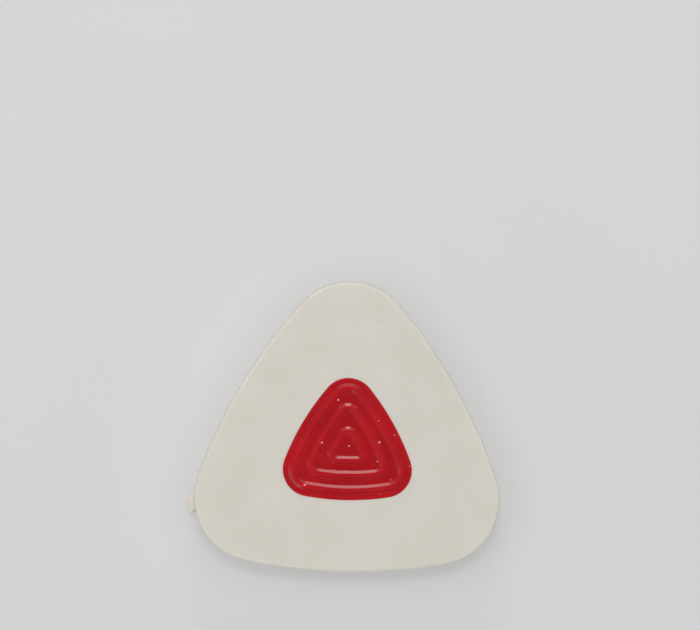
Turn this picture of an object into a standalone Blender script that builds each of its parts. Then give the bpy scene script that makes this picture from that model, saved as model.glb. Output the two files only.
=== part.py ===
"""Triangular pencil eraser: a soft vinyl block held by a two-part plastic finger grip.

The block is a rounded triangle with a shallow pocket in each face, and a ridged grip plate fills
each pocket. The front plate has three sockets that pass through the web between the pockets. The
back plate has three pins that press into those sockets, so the plates hold each other in the block.

Metres, +Z up. The eraser lies on its back face, with its front face up and its apex towards +Y.
The origin is on the plane of the back face, under the middle of the rounded triangle's box.
"""

import math
from collections import namedtuple

import bmesh
import bpy
from mathutils import Matrix, Vector

MM = 0.001

# A rounded triangle has three wide side arcs, joined by three corner arcs that are tangent to them.
# Its side distance runs from the triangle's centre to the middle of a side.
Outline = namedtuple("Outline", "side_distance side_radius corner_radius")
BLOCK_OUTLINE = Outline(14.6 * MM, 63.0 * MM, 7.7 * MM)
GRIP_OUTLINE = Outline(6.07 * MM, 29.3 * MM, 3.18 * MM)
SHARPEST_CORNER = 0.2 * MM
CORNERS = 3
CORNER_STEPS = 12
SIDE_STEPS = 8

# Vinyl block
BLOCK_THICKNESS = 9.0 * MM
EDGE_RADIUS = 0.4 * MM
EDGE_STEPS = 3
WALL_LEAN = 0.12 * MM  # the wall's draft, from the parting line in to the rounded edge
POCKET_DEPTH = 1.8 * MM
POCKET_LIP = 0.15 * MM

# Grip plates
SEAM = 0.25 * MM  # gap between a grip and the block, on every side
PLATE_EDGE = 0.15 * MM
FRONT_RECESS = 0.03 * MM  # the front plate's rim is nearly flush with the block's face
FIRST_RIDGE_INSET = 1.22 * MM  # middle of the outer ridge, in from the plate's edge
RIDGE_PITCH = 1.72 * MM
RIDGE_CORNERS = (1.8 * MM, 1.05 * MM, 0.7 * MM)  # corner radius along the middle of each ridge
RIDGE_WIDTH = 1.01 * MM
RIDGE_TOP_WIDTH = 0.33 * MM
RIDGE_HEIGHT = 0.175 * MM
BACK_RIDGES_BELOW_FACE = 0.05 * MM
BACK_RECESS = RIDGE_HEIGHT + BACK_RIDGES_BELOW_FACE  # so the eraser rests on its vinyl face

# Sockets and pins, one on the way to each corner
POST_DISTANCE = 3.6 * MM
POST_SIDES = 24
SOCKET_RADIUS = 1.3 * MM
SOCKET_BORE_RADIUS = 0.75 * MM
SOCKET_BORE_DEPTH = 4.4 * MM
PIN_ROOT_RADIUS = 0.55 * MM
PIN_TIP_RADIUS = 0.42 * MM
PIN_LENGTH = 4.0 * MM
POST_ROOT = 0.6 * MM  # how deep a post starts inside its plate

# Moulding nub left by the gate, on the wall of the left corner
NUB_CORNER_DEG = 210.0
NUB_HEADING_DEG = 188.0
NUB_PROUD = 0.85 * MM
NUB_BURIED = 0.6 * MM
NUB_LENGTH = 2.1 * MM
NUB_HEIGHT = 1.4 * MM
NUB_ROUNDING = 0.3 * MM
NUB_ROUNDING_STEPS = 2
ROUND_PROFILE = 0.5  # shape of a bevel that is part of a circle

# Materials and shading
VINYL_COLOUR = (0.66, 0.63, 0.565, 1.0)
VINYL_ROUGHNESS = 0.55
GRIP_COLOUR = (0.41, 0.011, 0.016, 1.0)
GRIP_ROUGHNESS = 0.25
SHARP_ANGLE = math.radians(35)


def polar(distance, heading):
    """A point in the plane of the triangle, from its distance and heading from the centre."""
    return Vector((distance * math.cos(heading), distance * math.sin(heading), 0.0))


def corner_headings():
    """Headings of the three corners, anticlockwise from the apex at +Y."""
    return [math.radians(90 + 360 / CORNERS * corner) for corner in range(CORNERS)]


def corner_centre(outline):
    """Distance from the triangle's centre to the centre of a corner arc tangent to the sides."""
    side_centre = outline.side_radius - outline.side_distance
    between = outline.side_radius - outline.corner_radius
    return (math.sqrt(4 * between**2 - 3 * side_centre**2) - side_centre) / 2


def inset(outline, distance):
    """The outline moved inwards by a distance, or outwards by a negative one."""
    side_distance, side_radius, corner_radius = (size - distance for size in outline)
    return Outline(side_distance, side_radius, max(corner_radius, SHARPEST_CORNER))


def ring(outline, height):
    """Points round an outline at one height, anticlockwise from the apex's corner arc."""
    corner_distance = corner_centre(outline)
    side_centre = outline.side_radius - outline.side_distance
    half_turn = math.radians(180 / CORNERS)
    half_corner = math.atan2(
        side_centre * math.sin(half_turn), corner_distance + side_centre * math.cos(half_turn)
    )
    half_side = half_turn - half_corner
    lift = Vector((0.0, 0.0, height))
    points = []
    for heading in corner_headings():
        corner = polar(corner_distance, heading) + lift
        for step in range(CORNER_STEPS):
            turn = heading - half_corner + 2 * half_corner * step / CORNER_STEPS
            points.append(corner + polar(outline.corner_radius, turn))
        side = lift - polar(side_centre, heading + half_turn)
        for step in range(SIDE_STEPS):
            turn = heading + half_corner + 2 * half_side * step / SIDE_STEPS
            points.append(side + polar(outline.side_radius, turn))
    return points


def finish_object(name, mesh, material, parent):
    """Make an object from a bmesh, shaded smooth except at its sharp edges."""
    data = bpy.data.meshes.new(name)
    bmesh.ops.recalc_face_normals(mesh, faces=mesh.faces[:])
    mesh.to_mesh(data)
    mesh.free()
    data.shade_smooth()
    data.set_sharp_from_angle(angle=SHARP_ANGLE)
    if material:
        data.materials.append(material)
    made = bpy.data.objects.new(name, data)
    made.parent = parent
    bpy.context.scene.collection.objects.link(made)
    return made


def loft(name, rings, material, parent):
    """A closed skin over a stack of rings, with a flat cap on the first and on the last."""
    mesh = bmesh.new()
    loops = [[mesh.verts.new(point) for point in points] for points in rings]
    mesh.faces.new(loops[0])
    mesh.faces.new(loops[-1])
    for near, far in zip(loops, loops[1:]):
        for here in range(len(near)):
            after = (here + 1) % len(near)
            mesh.faces.new((near[here], near[after], far[after], far[here]))
    return finish_object(name, mesh, material, parent)


def as_tool(made):
    """Hide a solid that only cuts or joins another."""
    made.hide_render = True
    made.display_type = "WIRE"
    return made


def posts(name, low, high, low_radius, high_radius, parent):
    """One upright round post on the way to each corner, as a hidden solid."""
    mesh = bmesh.new()
    for heading in corner_headings():
        middle = polar(POST_DISTANCE, heading) + Vector((0.0, 0.0, (low + high) / 2))
        bmesh.ops.create_cone(
            mesh,
            cap_ends=True,
            segments=POST_SIDES,
            radius1=low_radius,
            radius2=high_radius,
            depth=high - low,
            matrix=Matrix.Translation(middle),
        )
    return as_tool(finish_object(name, mesh, None, parent))


def combine(made, operation, tool):
    """Add a Boolean that joins a hidden solid to an object or cuts it away."""
    boolean = made.modifiers.new(tool.name, "BOOLEAN")
    boolean.operation = operation
    boolean.solver = "EXACT"
    boolean.object = tool


def moulded(name, colour, roughness):
    """A plain moulded material."""
    material = bpy.data.materials.new(name)
    material.use_nodes = True
    shader = material.node_tree.nodes["Principled BSDF"]
    shader.inputs["Base Color"].default_value = colour
    shader.inputs["Roughness"].default_value = roughness
    shader.inputs["Metallic"].default_value = 0.0
    return material


def block_rings():
    """Rings of the block, from the front pocket's floor over the wall to the back pocket's floor."""
    pocket = inset(GRIP_OUTLINE, -SEAM)
    upper_half = [
        (pocket, BLOCK_THICKNESS - POCKET_DEPTH),
        (pocket, BLOCK_THICKNESS - POCKET_LIP),
        (inset(pocket, -POCKET_LIP), BLOCK_THICKNESS),
    ]
    for step in range(EDGE_STEPS + 1):
        turn = math.pi / 2 * step / EDGE_STEPS
        lean = WALL_LEAN + EDGE_RADIUS * (1 - math.sin(turn))
        drop = EDGE_RADIUS * (1 - math.cos(turn))
        upper_half.append((inset(BLOCK_OUTLINE, lean), BLOCK_THICKNESS - drop))
    parting_line = [(BLOCK_OUTLINE, BLOCK_THICKNESS / 2)]
    lower_half = [(outline, BLOCK_THICKNESS - height) for outline, height in reversed(upper_half)]
    return [ring(outline, height) for outline, height in upper_half + parting_line + lower_half]


def gate_nub(parent):
    """The small rounded lump where the moulding gate was cut off, at the parting line."""
    outward = polar(1.0, math.radians(NUB_HEADING_DEG))
    foot = polar(corner_centre(BLOCK_OUTLINE), math.radians(NUB_CORNER_DEG))
    foot += outward * BLOCK_OUTLINE.corner_radius
    middle = foot + outward * (NUB_PROUD - NUB_BURIED) / 2
    middle.z = BLOCK_THICKNESS / 2
    size = Matrix.Diagonal((NUB_PROUD + NUB_BURIED, NUB_LENGTH, NUB_HEIGHT, 1.0))
    turn = Matrix.Rotation(math.radians(NUB_HEADING_DEG), 4, "Z")
    mesh = bmesh.new()
    bmesh.ops.create_cube(mesh, size=1.0, matrix=Matrix.Translation(middle) @ turn @ size)
    bmesh.ops.bevel(
        mesh,
        geom=mesh.edges[:],
        offset=NUB_ROUNDING,
        segments=NUB_ROUNDING_STEPS,
        profile=ROUND_PROFILE,
        affect="EDGES",
    )
    return as_tool(finish_object("gate_nub_tool", mesh, None, parent))


def eraser_block(parent, material):
    """The vinyl block, with its pockets, the holes through its web and the gate's nub."""
    block = loft("eraser_block", block_rings(), material, parent)
    hole_radius = SOCKET_RADIUS + SEAM
    web_holes = posts("web_holes_tool", 0.0, BLOCK_THICKNESS, hole_radius, hole_radius, parent)
    combine(block, "DIFFERENCE", web_holes)
    combine(block, "UNION", gate_nub(parent))


def grip_plate(name, face, outward, recess, material, parent):
    """A grip plate in the pocket of one face, its ridges towards outward (+1 up, -1 down)."""
    rim = -recess
    crest = rim + RIDGE_HEIGHT
    levels = [
        (GRIP_OUTLINE, SEAM - POCKET_DEPTH),
        (GRIP_OUTLINE, rim - PLATE_EDGE),
        (inset(GRIP_OUTLINE, PLATE_EDGE), rim),
    ]
    for number, corner_radius in enumerate(RIDGE_CORNERS):
        middle = inset(GRIP_OUTLINE, FIRST_RIDGE_INSET + RIDGE_PITCH * number)
        middle = middle._replace(corner_radius=corner_radius)
        levels += [
            (inset(middle, -RIDGE_WIDTH / 2), rim),
            (inset(middle, -RIDGE_TOP_WIDTH / 2), crest),
            (inset(middle, RIDGE_TOP_WIDTH / 2), crest),
            (inset(middle, RIDGE_WIDTH / 2), rim),
        ]
    rings = [ring(outline, face + outward * up) for outline, up in levels]
    return loft(name, rings, material, parent)


def front_grip(parent, material):
    """The front plate, with a hollow socket at each post."""
    grip = grip_plate("front_grip", BLOCK_THICKNESS, 1, FRONT_RECESS, material, parent)
    socket_end = POCKET_DEPTH  # level with the back pocket's floor, a seam short of the back plate
    socket_root = BLOCK_THICKNESS - POCKET_DEPTH + SEAM + POST_ROOT
    sockets = posts("sockets_tool", socket_end, socket_root, SOCKET_RADIUS, SOCKET_RADIUS, parent)
    bore_mouth = socket_end - SEAM
    bore_end = socket_end + SOCKET_BORE_DEPTH
    bores = posts(
        "bores_tool", bore_mouth, bore_end, SOCKET_BORE_RADIUS, SOCKET_BORE_RADIUS, parent
    )
    combine(grip, "UNION", sockets)
    combine(grip, "DIFFERENCE", bores)


def back_grip(parent, material):
    """The back plate, with a tapered pin in each of the front plate's sockets."""
    grip = grip_plate("back_grip", 0.0, -1, BACK_RECESS, material, parent)
    plate_top = POCKET_DEPTH - SEAM
    pins = posts(
        "pins_tool",
        plate_top - POST_ROOT,
        plate_top + PIN_LENGTH,
        PIN_ROOT_RADIUS,
        PIN_TIP_RADIUS,
        parent,
    )
    combine(grip, "UNION", pins)


def main():
    for old in list(bpy.data.objects):
        bpy.data.objects.remove(old, do_unlink=True)
    # The triangle's centre lies towards its flat side, so it is below the middle of its box
    corner_reach = corner_centre(BLOCK_OUTLINE) + BLOCK_OUTLINE.corner_radius
    eraser = bpy.data.objects.new("eraser", None)
    eraser.location.y = (BLOCK_OUTLINE.side_distance - corner_reach) / 2
    bpy.context.scene.collection.objects.link(eraser)
    eraser_block(eraser, moulded("white_vinyl", VINYL_COLOUR, VINYL_ROUGHNESS))
    front_grip(eraser, moulded("red_front_plastic", GRIP_COLOUR, GRIP_ROUGHNESS))
    back_grip(eraser, moulded("red_back_plastic", GRIP_COLOUR, GRIP_ROUGHNESS))


main()
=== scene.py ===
"""Looks of a triangular pencil eraser: a white vinyl block with a ridged red grip in each face.

Metres, +Z up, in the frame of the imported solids. The eraser lies on its back face, apex towards +Y.
"""

import math
from collections import namedtuple

import bmesh
import bpy
from mathutils import Matrix, Vector, noise


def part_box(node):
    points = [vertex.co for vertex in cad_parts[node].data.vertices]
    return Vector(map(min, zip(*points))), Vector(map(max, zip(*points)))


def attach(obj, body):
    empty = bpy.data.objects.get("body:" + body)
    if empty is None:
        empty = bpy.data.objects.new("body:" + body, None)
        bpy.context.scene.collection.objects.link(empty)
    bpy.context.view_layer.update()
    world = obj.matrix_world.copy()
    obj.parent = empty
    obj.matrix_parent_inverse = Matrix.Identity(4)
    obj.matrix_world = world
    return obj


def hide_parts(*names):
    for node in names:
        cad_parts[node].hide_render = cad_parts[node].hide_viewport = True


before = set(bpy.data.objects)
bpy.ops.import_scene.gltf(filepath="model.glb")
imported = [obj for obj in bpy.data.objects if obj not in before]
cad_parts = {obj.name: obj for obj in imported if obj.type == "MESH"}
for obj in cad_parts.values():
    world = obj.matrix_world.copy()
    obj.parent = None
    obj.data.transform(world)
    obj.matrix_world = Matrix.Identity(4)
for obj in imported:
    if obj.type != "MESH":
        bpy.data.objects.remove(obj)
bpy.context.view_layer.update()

MM = 0.001

# A rounded triangle has three wide side arcs, joined by three corner arcs that are tangent to them.
# Its side distance runs from the triangle's centre to the middle of a side.
Outline = namedtuple("Outline", "side_distance side_radius corner_radius")
BLOCK_OUTLINE = Outline(14.6 * MM, 63.0 * MM, 7.7 * MM)
GRIP_OUTLINE = Outline(6.07 * MM, 29.3 * MM, 3.18 * MM)
SHARPEST_CORNER = 0.1 * MM
CORNERS = 3
CORNER_STEPS = 36
SIDE_STEPS = 28

BLOCK_LOW, BLOCK_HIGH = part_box("eraser_block")
THICKNESS = BLOCK_HIGH.z - BLOCK_LOW.z
CENTRE = Vector((0.0, BLOCK_LOW.y + BLOCK_OUTLINE.side_distance, BLOCK_LOW.z))

# Rounded corners of a profile
ROUND_STEPS = 6
HOLD = 1.12  # a curve is held by a point this many roundings away from its corner

# Vinyl block
EDGE_ROUNDING = 0.38 * MM
EDGE_START = 2.2 * MM  # where the profile of the edge starts, in from the parting line
WALL_LEAN = 0.12 * MM
BEAD_WIDTH = 0.16 * MM  # half the width of the raised line where the mould parts
BEAD_HEIGHT = 0.05 * MM
BEAD_ROUNDING = 0.05 * MM
POCKET_DEPTH = 1.8 * MM
POCKET_GAP = 0.015 * MM
LIP_ROUNDING = 0.06 * MM
LIP_REACH = 0.5 * MM
FACE_STEPS = 12
WALL_SPACING = 0.7 * MM
UNEVEN_SIZE = 6.0 * MM
UNEVEN_HEIGHT = 0.025 * MM

# Grip plates
PLATE_BOTTOM = 0.25 * MM  # how far a plate's inner face stays from the pocket's floor
PLATE_EDGE = 0.05 * MM
FRONT_RECESS = 0.03 * MM
FIRST_RIDGE_INSET = 1.22 * MM  # middle of the outer ridge, in from the plate's edge
RIDGE_PITCH = 1.72 * MM
RIDGE_CORNERS = (1.8 * MM, 1.05 * MM, 0.7 * MM)  # corner radius along the middle of each ridge
RIDGE_TOP_WIDTH = 0.33 * MM
RIDGE_HEIGHT = 0.175 * MM
BACK_RIDGES_BELOW_FACE = 0.05 * MM
BACK_RECESS = RIDGE_HEIGHT + BACK_RIDGES_BELOW_FACE
FLANK_WIDTH = 0.34 * MM
RIM_FLANK_WIDTH = 0.39 * MM  # the flank next to the rim is a little gentler than the others
RIDGE_FOOT_ROUNDING = 0.018 * MM
RIDGE_TOP_ROUNDING = 0.018 * MM
# per-vertex attribute: on the grip plates it gives painted shade in the grooves and painted light up
# the ridges and on the rim's edge; on the block it marks the nub
TONE = "raised"
RIM_PAINTED_LIGHT = 1.6  # painted light on the rim's edge: its tone, where a groove's is 0 and a ridge's top is 1

# Sockets under the front plate and pins on the back plate, one on the way to each corner
POST_DISTANCE = 3.6 * MM
POST_SIDES = 48
SOCKET_RADIUS = 1.3 * MM
SOCKET_BORE_RADIUS = 0.75 * MM
SOCKET_BORE_DEPTH = 4.4 * MM
PIN_ROOT_RADIUS = 0.72 * MM
PIN_TIP_RADIUS = 0.6 * MM
PIN_LENGTH = 4.0 * MM
POST_ROOT = 0.6 * MM  # how deep a post starts inside its plate
WEB_HOLE_GAP = 0.03 * MM

# Moulding nub left by the gate, on the wall of the left corner
NUB_CORNER_DEG = 210.0
NUB_HEADING_DEG = 188.0
NUB_PROUD = 1.0 * MM
NUB_BURIED = 0.6 * MM
NUB_LENGTH = 2.1 * MM
NUB_HEIGHT = 1.4 * MM
NUB_CUTS = 14
NUB_SQUARENESS = 3.2
NUB_TAPER = 0.12  # how much less the nub stands proud at its lower end
NUB_LUMP_SIZE = 0.7 * MM
NUB_LUMP_HEIGHT = 0.16 * MM
NUB_LUMP_LEVEL = 0.6  # noise of this level leaves the nub's surface where it is

# Shading
SHARP_EDGE_DEG = 50.0
NOISE_LOW = 0.3  # noise up to this level gives the low end of a range of colours or roughness
NOISE_HIGH = 0.7  # noise from this level on gives the high end

# Colours
VINYL_DARK = (0.645, 0.612, 0.545)
VINYL_PALE = (0.675, 0.645, 0.58)
# the nub's colour: yellower as its own tint, paler as painted light against the shade it lies in
VINYL_NUB_TINT_AND_LIGHT = (0.7, 0.658, 0.575)
VINYL_SPECK = (0.38, 0.35, 0.3)
VINYL_SCATTER = (1.0, 0.93, 0.85)  # how far each colour of light goes under the surface
# grip reds: the ramp between them gives painted shade in the grooves and painted light up the ridges
# and on the rim's edge, along with random mottle
RED_SHADE_AND_DARK_MOTTLE = (0.382, 0.0051, 0.0092)
RED_LIGHT_AND_PALE_MOTTLE = (0.49, 0.006, 0.0128)
RED_DUST = (0.7, 0.42, 0.4)
GROUND_DARK = (0.672, 0.672, 0.676)
GROUND_PALE = (0.688, 0.688, 0.69)
GROUND_GLOW = (0.68, 0.68, 0.68, 1.0)

# Ground and sky
FLOOR_REACH = 1.5
SHADOW_LIFT = 0.35  # share of the ground's look that no shadow darkens
SKY_STOPS = (  # sine of the rise over the horizon, brightness
    (0.0, 1.15),
    (0.36, 1.15),
    (0.43, 0.1),
    (0.8, 0.1),
    (0.84, 1.46),
    (0.974, 1.46),
    (0.985, 0.05),
    (1.0, 0.05),
)

# Photograph's frame, in pixels
IMAGE_WIDTH = 700
IMAGE_HEIGHT = 630
CENTRE_PIXEL = (347.7, 447.5)
PIXELS_PER_MM = 8.48
CAMERA_DISTANCE = 700.0 * MM
CAMERA_ROLL_DEG = 1.0


def polar(distance, heading):
    """A point in the plane of the triangle, from its distance and heading from the centre."""
    return Vector((distance * math.cos(heading), distance * math.sin(heading), 0.0))


def corner_headings():
    """Headings of the three corners, anticlockwise from the apex at +Y."""
    return [math.radians(90 + 360 / CORNERS * corner) for corner in range(CORNERS)]


def corner_centre(outline):
    """Distance from the triangle's centre to the centre of a corner arc tangent to the sides."""
    side_centre = outline.side_radius - outline.side_distance
    between = outline.side_radius - outline.corner_radius
    return (math.sqrt(4 * between**2 - 3 * side_centre**2) - side_centre) / 2


def inset(outline, distance):
    """The outline moved inwards by a distance, or outwards by a negative one."""
    side_distance, side_radius, corner_radius = (size - distance for size in outline)
    return Outline(side_distance, side_radius, max(corner_radius, SHARPEST_CORNER))


def ring(outline, height):
    """Points round an outline at one height over the back face, anticlockwise from the apex."""
    corner_distance = corner_centre(outline)
    side_centre = outline.side_radius - outline.side_distance
    half_turn = math.radians(180 / CORNERS)
    half_corner = math.atan2(
        side_centre * math.sin(half_turn), corner_distance + side_centre * math.cos(half_turn)
    )
    half_side = half_turn - half_corner
    middle = CENTRE + Vector((0.0, 0.0, height))
    points = []
    for heading in corner_headings():
        corner = middle + polar(corner_distance, heading)
        for step in range(CORNER_STEPS):
            turn = heading - half_corner + 2 * half_corner * step / CORNER_STEPS
            points.append(corner + polar(outline.corner_radius, turn))
        side = middle - polar(side_centre, heading + half_turn)
        for step in range(SIDE_STEPS):
            turn = heading + half_corner + 2 * half_side * step / SIDE_STEPS
            points.append(side + polar(outline.side_radius, turn))
    return points


def rounded(path):
    """Points (inset, height) along a path whose inner corners (inset, height, rounding) are curved."""
    corners = [Vector(point[:2]) for point in path]
    points = [corners[0]]
    for place in range(1, len(path) - 1):
        rounding = path[place][2]
        back = (corners[place - 1] - corners[place]).normalized() * rounding
        ahead = (corners[place + 1] - corners[place]).normalized() * rounding
        points.append(corners[place] + back * HOLD)
        for step in range(ROUND_STEPS + 1):
            share = step / ROUND_STEPS
            points.append(corners[place] + back * (1 - share) ** 2 + ahead * share**2)
        points.append(corners[place] + ahead * HOLD)
    points.append(corners[-1])
    return points


def denser(points, spacing):
    """The same path with its long stretches divided."""
    result = [points[0]]
    for start, end in zip(points, points[1:]):
        parts = max(1, math.ceil((end - start).length / spacing))
        result += [start.lerp(end, part / parts) for part in range(1, parts + 1)]
    return result


def skin(rings, tones):
    """A closed mesh over a stack of rings, each with a tone, capped at both ends; and its rows."""
    mesh = bmesh.new()
    layer = mesh.verts.layers.float.new(TONE)
    rows = [[mesh.verts.new(point) for point in points] for points in rings]
    for row, tone in zip(rows, tones):
        for vert in row:
            vert[layer] = tone
    mesh.faces.new(rows[0])
    mesh.faces.new(rows[-1])
    for near, far in zip(rows, rows[1:]):
        for here in range(len(near)):
            after = (here + 1) % len(near)
            mesh.faces.new((near[here], near[after], far[after], far[here]))
    bmesh.ops.recalc_face_normals(mesh, faces=mesh.faces[:])
    mesh.normal_update()
    return mesh, rows


def split_quads(mesh):
    """Divide the four-sided faces of a mesh into triangles, which can be joined more cleanly."""
    quads = [face for face in mesh.faces if len(face.verts) == 4]
    bmesh.ops.triangulate(mesh, faces=quads)


def new_object(name, mesh):
    """An object in the scene from a mesh that is being edited."""
    data = bpy.data.meshes.new(name)
    mesh.to_mesh(data)
    mesh.free()
    made = bpy.data.objects.new(name, data)
    bpy.context.scene.collection.objects.link(made)
    return made


def posts(low, high, low_radius, high_radius):
    """An upright round post between two heights on the way to each corner, to join or to cut."""
    mesh = bmesh.new()
    for heading in corner_headings():
        middle = CENTRE + polar(POST_DISTANCE, heading) + Vector((0.0, 0.0, (low + high) / 2))
        bmesh.ops.create_cone(
            mesh,
            cap_ends=True,
            segments=POST_SIDES,
            radius1=low_radius,
            radius2=high_radius,
            depth=high - low,
            matrix=Matrix.Translation(middle),
        )
    return new_object("posts", mesh)


def combine(made, operation, tool):
    """Join a tool to an object or cut it away, and remove the tool."""
    boolean = made.modifiers.new(operation, "BOOLEAN")
    boolean.operation = operation
    boolean.object = tool
    evaluated = made.evaluated_get(bpy.context.evaluated_depsgraph_get())
    made.data = bpy.data.meshes.new_from_object(evaluated)
    made.modifiers.clear()
    bpy.data.objects.remove(tool)


def piece(made, material):
    """Make an object a piece of the eraser, shaded smooth except at its sharp edges."""
    made.data.shade_smooth()
    made.data.set_sharp_from_angle(angle=math.radians(SHARP_EDGE_DEG))
    made.data.materials.append(material)
    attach(made, "root")


def half_block_rings():
    """Rings of the block's upper half, from the pocket's floor to the line where the mould parts."""
    pocket = inset(GRIP_OUTLINE, -POCKET_GAP)
    pocket_path = rounded(
        [
            (0.0, THICKNESS - POCKET_DEPTH),
            (0.0, THICKNESS, LIP_ROUNDING),
            (-LIP_REACH, THICKNESS),
        ]
    )
    edge_path = rounded(
        [
            (EDGE_START, THICKNESS),
            (WALL_LEAN, THICKNESS, EDGE_ROUNDING),
            (0.0, THICKNESS / 2 + BEAD_WIDTH, BEAD_ROUNDING),
            (-BEAD_HEIGHT, THICKNESS / 2),
        ]
    )
    pocket_rings = [ring(inset(pocket, inwards), height) for inwards, height in pocket_path]
    edge_rings = [
        ring(inset(BLOCK_OUTLINE, inwards), height)
        for inwards, height in denser(edge_path, WALL_SPACING)
    ]
    face_rings = []
    for step in range(1, FACE_STEPS):
        share = step / FACE_STEPS
        across = zip(pocket_rings[-1], edge_rings[0])
        face_rings.append([inner.lerp(outer, share) for inner, outer in across])
    return pocket_rings, face_rings + edge_rings


def mirrored(points):
    """Points moved to the other side of the plane half way up the block."""
    double_middle = 2 * CENTRE.z + THICKNESS
    return [Vector((point.x, point.y, double_middle - point.z)) for point in points]


def vinyl_block(material):
    """The block with the holes through its web, its moulded surface very slightly uneven."""
    pocket_rings, outer_rings = half_block_rings()
    upper = pocket_rings + outer_rings
    lower = [mirrored(points) for points in reversed(upper[:-1])]
    rings = upper + lower
    mesh, rows = skin(rings, [0.0] * len(rings))
    even = len(pocket_rings)  # the pockets at both ends stay even
    for row in rows[even:-even]:
        for vert in row:
            bump = noise.noise(vert.co / UNEVEN_SIZE)
            vert.co += vert.normal * (bump - 1.0) / 2 * UNEVEN_HEIGHT
    split_quads(mesh)
    body = new_object("body", mesh)
    hole_radius = SOCKET_RADIUS + WEB_HOLE_GAP
    combine(body, "DIFFERENCE", posts(0.0, THICKNESS, hole_radius, hole_radius))
    made = gate_nub("vinyl_block")
    combine(made, "UNION", body)  # the nub is the base, because a union keeps only the base's tones
    piece(made, material)
    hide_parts("eraser_block")


def ridge_path(rim, outer_flank):
    """Points (inset, height) across a ridge, with insets from the ridge's middle line."""
    half_top = RIDGE_TOP_WIDTH / 2
    crest = rim + RIDGE_HEIGHT
    outer_foot = -half_top - outer_flank
    inner_foot = half_top + FLANK_WIDTH
    return rounded(
        [
            (outer_foot - RIDGE_FOOT_ROUNDING * 2, rim),
            (outer_foot, rim, RIDGE_FOOT_ROUNDING),
            (-half_top, crest, RIDGE_TOP_ROUNDING),
            (half_top, crest, RIDGE_TOP_ROUNDING),
            (inner_foot, rim, RIDGE_FOOT_ROUNDING),
            (inner_foot + RIDGE_FOOT_ROUNDING * 2, rim),
        ]
    )


def grip_rings(rim):
    """Rings of a grip plate from its inner face over the rim and ridges to its centre, with tones for
    painted shade in the grooves and painted light up the ridges and on the rim's edge.
    """
    inner_face = PLATE_BOTTOM - POCKET_DEPTH
    edge_path = rounded(
        [
            (PLATE_EDGE * 3, inner_face),
            (0.0, inner_face, PLATE_EDGE),
            (0.0, rim, PLATE_EDGE),
            (PLATE_EDGE * 3, rim),
        ]
    )
    rings = [ring(inset(GRIP_OUTLINE, inwards), THICKNESS + height) for inwards, height in edge_path]
    # the rim's rings get a high tone: painted light on its edge
    tones = [RIM_PAINTED_LIGHT] * len(rings)
    for number, corner_radius in enumerate(RIDGE_CORNERS):
        middle = inset(GRIP_OUTLINE, FIRST_RIDGE_INSET + RIDGE_PITCH * number)
        middle = middle._replace(corner_radius=corner_radius)
        outer_flank = RIM_FLANK_WIDTH if number == 0 else FLANK_WIDTH
        for inwards, height in ridge_path(rim, outer_flank):
            rings.append(ring(inset(middle, inwards), THICKNESS + height))
            # the tone rises with height: painted shade in the grooves, painted light up the ridges
            tones.append((height - rim) / RIDGE_HEIGHT)
    return rings, tones


def front_plate(material):
    """The ridged plate in the front face's pocket, with a hollow socket at each post."""
    rings, tones = grip_rings(-FRONT_RECESS)
    mesh, _ = skin(rings, tones)
    made = new_object("front_plate", mesh)
    socket_end = POCKET_DEPTH
    socket_root = THICKNESS - POCKET_DEPTH + PLATE_BOTTOM + POST_ROOT
    bore_mouth = socket_end - PLATE_BOTTOM
    bore_end = socket_end + SOCKET_BORE_DEPTH
    combine(made, "UNION", posts(socket_end, socket_root, SOCKET_RADIUS, SOCKET_RADIUS))
    combine(made, "DIFFERENCE", posts(bore_mouth, bore_end, SOCKET_BORE_RADIUS, SOCKET_BORE_RADIUS))
    piece(made, material)
    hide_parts("front_grip")


def back_plate(material):
    """The ridged plate in the back face's pocket, with a tapered pin in each socket."""
    rings, tones = grip_rings(-BACK_RECESS)
    mesh, _ = skin([mirrored(points) for points in rings], tones)
    made = new_object("back_plate", mesh)
    inner_face = POCKET_DEPTH - PLATE_BOTTOM
    pin_root = inner_face - POST_ROOT
    pin_tip = inner_face + PIN_LENGTH
    combine(made, "UNION", posts(pin_root, pin_tip, PIN_ROOT_RADIUS, PIN_TIP_RADIUS))
    piece(made, material)
    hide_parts("back_grip")


def gate_nub(name):
    """The small torn lump of vinyl where the moulding gate was cut off, at the parting line."""
    outward = polar(1.0, math.radians(NUB_HEADING_DEG))
    foot = CENTRE + polar(corner_centre(BLOCK_OUTLINE), math.radians(NUB_CORNER_DEG))
    foot += outward * BLOCK_OUTLINE.corner_radius
    middle = foot + outward * (NUB_PROUD - NUB_BURIED) / 2
    middle.z += THICKNESS / 2
    size = Matrix.Diagonal((NUB_PROUD + NUB_BURIED, NUB_LENGTH, NUB_HEIGHT, 1.0))
    turn = Matrix.Rotation(math.radians(NUB_HEADING_DEG), 4, "Z")
    mesh = bmesh.new()
    layer = mesh.verts.layers.float.new(TONE)
    bmesh.ops.create_cube(mesh, size=1.0)
    bmesh.ops.subdivide_edges(mesh, edges=mesh.edges[:], cuts=NUB_CUTS, use_grid_fill=True)
    for vert in mesh.verts:
        # marks the nub for its yellower tint and its painted light
        vert[layer] = 1.0
        spread = sum(abs(2 * reach) ** NUB_SQUARENESS for reach in vert.co)
        vert.co /= spread ** (1 / NUB_SQUARENESS)
        vert.co.x -= NUB_TAPER * (vert.co.x + 0.5) * (vert.co.y + 0.5)
    bmesh.ops.transform(
        mesh, matrix=Matrix.Translation(middle) @ turn @ size, verts=mesh.verts[:]
    )
    mesh.normal_update()
    for vert in mesh.verts:
        lump = noise.fractal(vert.co / NUB_LUMP_SIZE, 1.0, 2.0, 3)
        vert.co += vert.normal * (lump - NUB_LUMP_LEVEL) * NUB_LUMP_HEIGHT
    split_quads(mesh)
    return new_object(name, mesh)


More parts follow.
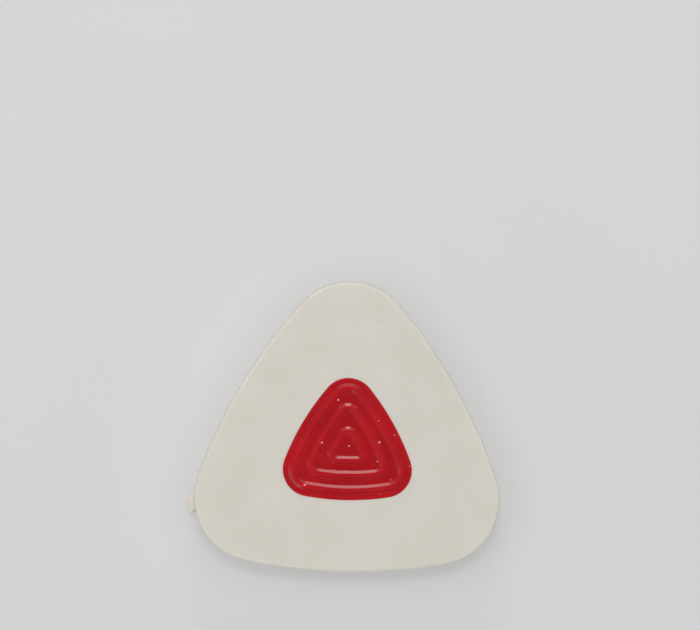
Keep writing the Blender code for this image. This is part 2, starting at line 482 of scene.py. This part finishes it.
def add_node(tree, kind, sockets=None, **settings):
    """A shader node with some of its settings and socket values."""
    made = tree.nodes.new(kind)
    for name, value in settings.items():
        setattr(made, name, value)
    for name, value in (sockets or {}).items():
        made.inputs[name].default_value = value
    return made


def new_material(name):
    """A material with its node tree, its shader and the coordinates of its surface."""
    material = bpy.data.materials.new(name)
    material.use_nodes = True
    tree = material.node_tree
    shader = tree.nodes["Principled BSDF"]
    place = add_node(tree, "ShaderNodeTexCoord").outputs["Object"]
    return material, tree, shader, place


def add_noise(tree, place, size, detail=3.0, roughness=0.5):
    """Noise whose features have about the given size in metres."""
    texture = add_node(
        tree, "ShaderNodeTexNoise", {"Scale": 1 / size, "Detail": detail, "Roughness": roughness}
    )
    tree.links.new(place, texture.inputs["Vector"])
    return texture.outputs["Fac"]


def add_ramp(tree, factor, low, high):
    """A colour between two, following a factor over the middle of its range."""
    ramp = add_node(tree, "ShaderNodeValToRGB")
    ramp.color_ramp.elements[0].position = NOISE_LOW
    ramp.color_ramp.elements[0].color = (*low, 1.0)
    ramp.color_ramp.elements[1].position = NOISE_HIGH
    ramp.color_ramp.elements[1].color = (*high, 1.0)
    tree.links.new(factor, ramp.inputs["Fac"])
    return ramp.outputs["Color"]


def add_range(tree, factor, low, high):
    """A number between two, following a factor over the middle of its range."""
    spread = add_node(
        tree,
        "ShaderNodeMapRange",
        {"From Min": NOISE_LOW, "From Max": NOISE_HIGH, "To Min": low, "To Max": high},
    )
    tree.links.new(factor, spread.inputs["Value"])
    return spread.outputs["Result"]


def add_math(tree, operation, first, second):
    """Arithmetic on a socket and a socket or a number."""
    made = add_node(tree, "ShaderNodeMath", operation=operation)
    tree.links.new(first, made.inputs[0])
    if isinstance(second, bpy.types.NodeSocket):
        tree.links.new(second, made.inputs[1])
    else:
        made.inputs[1].default_value = second
    return made.outputs[0]


def add_specks(tree, place, spacing, radius, share, dimensions):
    """A mask of small specks, in a share of the cells of the given spacing."""
    cells = add_node(
        tree, "ShaderNodeTexVoronoi", {"Scale": 1 / spacing}, voronoi_dimensions=dimensions
    )
    tree.links.new(place, cells.inputs["Vector"])
    channels = add_node(tree, "ShaderNodeSeparateColor")
    tree.links.new(cells.outputs["Color"], channels.inputs["Color"])
    chosen = add_math(tree, "LESS_THAN", channels.outputs["Red"], share)
    reach = add_math(tree, "MULTIPLY", channels.outputs["Green"], radius / spacing)
    inside = add_math(tree, "LESS_THAN", cells.outputs["Distance"], reach)
    return add_math(tree, "MULTIPLY", chosen, inside)


def add_mix(tree, factor, base, colour):
    """A colour laid over another where a mask says."""
    mix = add_node(tree, "ShaderNodeMix", data_type="RGBA")
    tree.links.new(factor, mix.inputs[0])
    tree.links.new(base, mix.inputs[6])  # the node's sockets 6 and 7 and its output 2 are colours
    mix.inputs[7].default_value = (*colour, 1.0)
    return mix.outputs[2]


def add_bump(tree, height, shader, distance, strength):
    """Bump of a shader's surface from a height."""
    bump = add_node(tree, "ShaderNodeBump", {"Distance": distance, "Strength": strength})
    tree.links.new(height, bump.inputs["Height"])
    tree.links.new(bump.outputs["Normal"], shader.inputs["Normal"])


def white_vinyl():
    """Soft satin vinyl: faintly mottled, yellower on the nub and paler there as painted light against
    the shade it lies in, a little light passes under its surface.
    """
    material, tree, shader, place = new_material("white_vinyl")
    mottle = add_ramp(tree, add_noise(tree, place, 5.0 * MM), VINYL_DARK, VINYL_PALE)
    on_nub = add_node(tree, "ShaderNodeAttribute", attribute_name=TONE).outputs["Fac"]
    # on the nub: its yellower tint, and paler as painted light
    nub_tint_and_light = add_mix(tree, on_nub, mottle, VINYL_NUB_TINT_AND_LIGHT)
    specks = add_specks(tree, place, spacing=1.6 * MM, radius=0.11 * MM, share=0.06, dimensions="3D")
    tree.links.new(add_mix(tree, specks, nub_tint_and_light, VINYL_SPECK), shader.inputs["Base Color"])
    satin = add_range(tree, add_noise(tree, place, 2.5 * MM), low=0.42, high=0.54)
    tree.links.new(satin, shader.inputs["Roughness"])
    grain = add_noise(tree, place, 0.22 * MM, detail=4.0, roughness=0.6)
    add_bump(tree, grain, shader, distance=0.02 * MM, strength=0.35)
    shader.inputs["Subsurface Weight"].default_value = 0.35
    shader.inputs["Subsurface Radius"].default_value = VINYL_SCATTER
    shader.inputs["Subsurface Scale"].default_value = 1.2 * MM
    return material


def red_plastic():
    """Glossy moulded plastic with painted shade in its grooves and painted light up its ridges and on
    its rim's edge, random mottle, a faint orange peel and specks of dust.
    """
    material, tree, shader, place = new_material("red_plastic")
    raised = add_node(tree, "ShaderNodeAttribute", attribute_name=TONE).outputs["Fac"]
    cloud = add_math(tree, "MULTIPLY", add_noise(tree, place, 3.5 * MM), 0.7)
    # painted shade and light: the tone from grooves up to ridges moves the colour towards the paler
    # red, along with random mottle
    level = add_math(tree, "ADD", add_math(tree, "MULTIPLY", raised, 0.2), cloud)
    tone = add_ramp(tree, level, RED_SHADE_AND_DARK_MOTTLE, RED_LIGHT_AND_PALE_MOTTLE)
    dust = add_specks(tree, place, spacing=1.7 * MM, radius=0.12 * MM, share=0.3, dimensions="2D")
    tree.links.new(add_mix(tree, dust, tone, RED_DUST), shader.inputs["Base Color"])
    gloss = add_range(tree, add_noise(tree, place, 1.2 * MM), low=0.13, high=0.19)
    tree.links.new(gloss, shader.inputs["Roughness"])
    orange_peel = add_noise(tree, place, 0.5 * MM, detail=2.0)
    add_bump(tree, orange_peel, shader, distance=0.01 * MM, strength=0.25)
    return material


def pale_ground():
    """Pale matt ground, on which shadows look lighter than they are."""
    material, tree, shader, place = new_material("pale_ground")
    tone = add_ramp(tree, add_noise(tree, place, 40.0 * MM), GROUND_DARK, GROUND_PALE)
    tree.links.new(tone, shader.inputs["Base Color"])
    shader.inputs["Roughness"].default_value = 0.9
    shader.inputs["Specular IOR Level"].default_value = 0.2
    rays = add_node(tree, "ShaderNodeLightPath").outputs
    seen = add_math(tree, "MAXIMUM", rays["Is Camera Ray"], rays["Is Glossy Ray"])
    seen = add_math(tree, "MAXIMUM", seen, rays["Is Transmission Ray"])
    lift = add_math(tree, "MULTIPLY", seen, SHADOW_LIFT)
    glow = add_node(tree, "ShaderNodeEmission", {"Color": GROUND_GLOW})
    mix = add_node(tree, "ShaderNodeMixShader")
    tree.links.new(lift, mix.inputs["Fac"])
    tree.links.new(shader.outputs["BSDF"], mix.inputs[1])
    tree.links.new(glow.outputs["Emission"], mix.inputs[2])
    tree.links.new(mix.outputs["Shader"], tree.nodes["Material Output"].inputs["Surface"])
    return material


def floor():
    """The ground that the eraser lies on."""
    corners = [(x * FLOOR_REACH, y * FLOOR_REACH, 0) for x, y in ((-1, -1), (1, -1), (1, 1), (-1, 1))]
    data = bpy.data.meshes.new("floor")
    data.from_pydata(corners, [], [(0, 1, 2, 3)])
    data.materials.append(pale_ground())
    made = bpy.data.objects.new("floor", data)
    made.location.z = BLOCK_LOW.z
    bpy.context.scene.collection.objects.link(made)


def sky():
    """Soft light from the horizon and from a ring high up, with a dark belt between and a dark top."""
    world = bpy.data.worlds.new("soft_light")
    world.use_nodes = True
    tree = world.node_tree
    background = tree.nodes["Background"]
    direction = add_node(tree, "ShaderNodeTexCoord").outputs["Generated"]
    parts = add_node(tree, "ShaderNodeSeparateXYZ")
    tree.links.new(direction, parts.inputs["Vector"])
    ramp = add_node(tree, "ShaderNodeValToRGB")
    for rise, _ in SKY_STOPS[1:-1]:
        ramp.color_ramp.elements.new(rise)
    for element, (rise, level) in zip(ramp.color_ramp.elements, SKY_STOPS):
        element.position = rise
        element.color = (level, level, level, 1.0)
    tree.links.new(parts.outputs["Z"], ramp.inputs["Fac"])
    tree.links.new(ramp.outputs["Color"], background.inputs["Color"])
    bpy.context.scene.world = world


def softbox(name, heading_deg, rise_deg, distance, width, height, brightness, in_gloss=True):
    """A rectangular lamp aimed at the eraser, from a heading and a rise over the horizon.

    Glossy surfaces show it, unless in_gloss says otherwise.
    """
    data = bpy.data.lights.new(name, "AREA")
    data.shape = "RECTANGLE"
    data.size = width
    data.size_y = height
    data.energy = brightness * math.pi * width * height
    heading = math.radians(heading_deg)
    rise = math.radians(rise_deg)
    away = polar(math.cos(rise), heading) + Vector((0.0, 0.0, math.sin(rise)))
    lamp = bpy.data.objects.new(name, data)
    lamp.location = CENTRE + away * distance
    lamp.rotation_euler = (-away).to_track_quat("-Z", "Y").to_euler()
    lamp.visible_glossy = in_gloss
    bpy.context.scene.collection.objects.link(lamp)


def camera():
    """A camera straight over the eraser's face, framed as the photograph is."""
    roll = math.radians(CAMERA_ROLL_DEG)
    right = Vector((math.cos(roll), math.sin(roll), 0.0))
    up = Vector((-math.sin(roll), math.cos(roll), 0.0))
    across = (CENTRE_PIXEL[0] - IMAGE_WIDTH / 2) / PIXELS_PER_MM * MM
    above = (IMAGE_HEIGHT / 2 - CENTRE_PIXEL[1]) / PIXELS_PER_MM * MM
    data = bpy.data.cameras.new("camera")
    data.sensor_fit = "HORIZONTAL"
    data.lens = data.sensor_width * CAMERA_DISTANCE * PIXELS_PER_MM / (IMAGE_WIDTH * MM)
    made = bpy.data.objects.new("camera", data)
    made.location = CENTRE - right * across - up * above
    made.location.z += THICKNESS / 2 + CAMERA_DISTANCE
    made.rotation_euler.z = roll
    bpy.context.scene.collection.objects.link(made)
    bpy.context.scene.camera = made


vinyl_block(white_vinyl())
grip_material = red_plastic()
front_plate(grip_material)
back_plate(grip_material)

floor()
sky()
softbox("key", 92, 35, distance=0.45, width=0.18, height=0.055, brightness=7.2)
softbox("wide_key", 92, 43, distance=0.55, width=1.1, height=0.06, brightness=1.0)
softbox("front_left", 215, 43, distance=0.5, width=0.6, height=0.06, brightness=1.2)
softbox("left_fill", 160, 62, distance=0.5, width=0.25, height=0.2, brightness=0.85)
softbox("overhead", 90, 81, distance=0.6, width=0.06, height=0.06, brightness=44.0, in_gloss=False)
camera()
bpy.context.scene.view_settings.view_transform = "Standard"
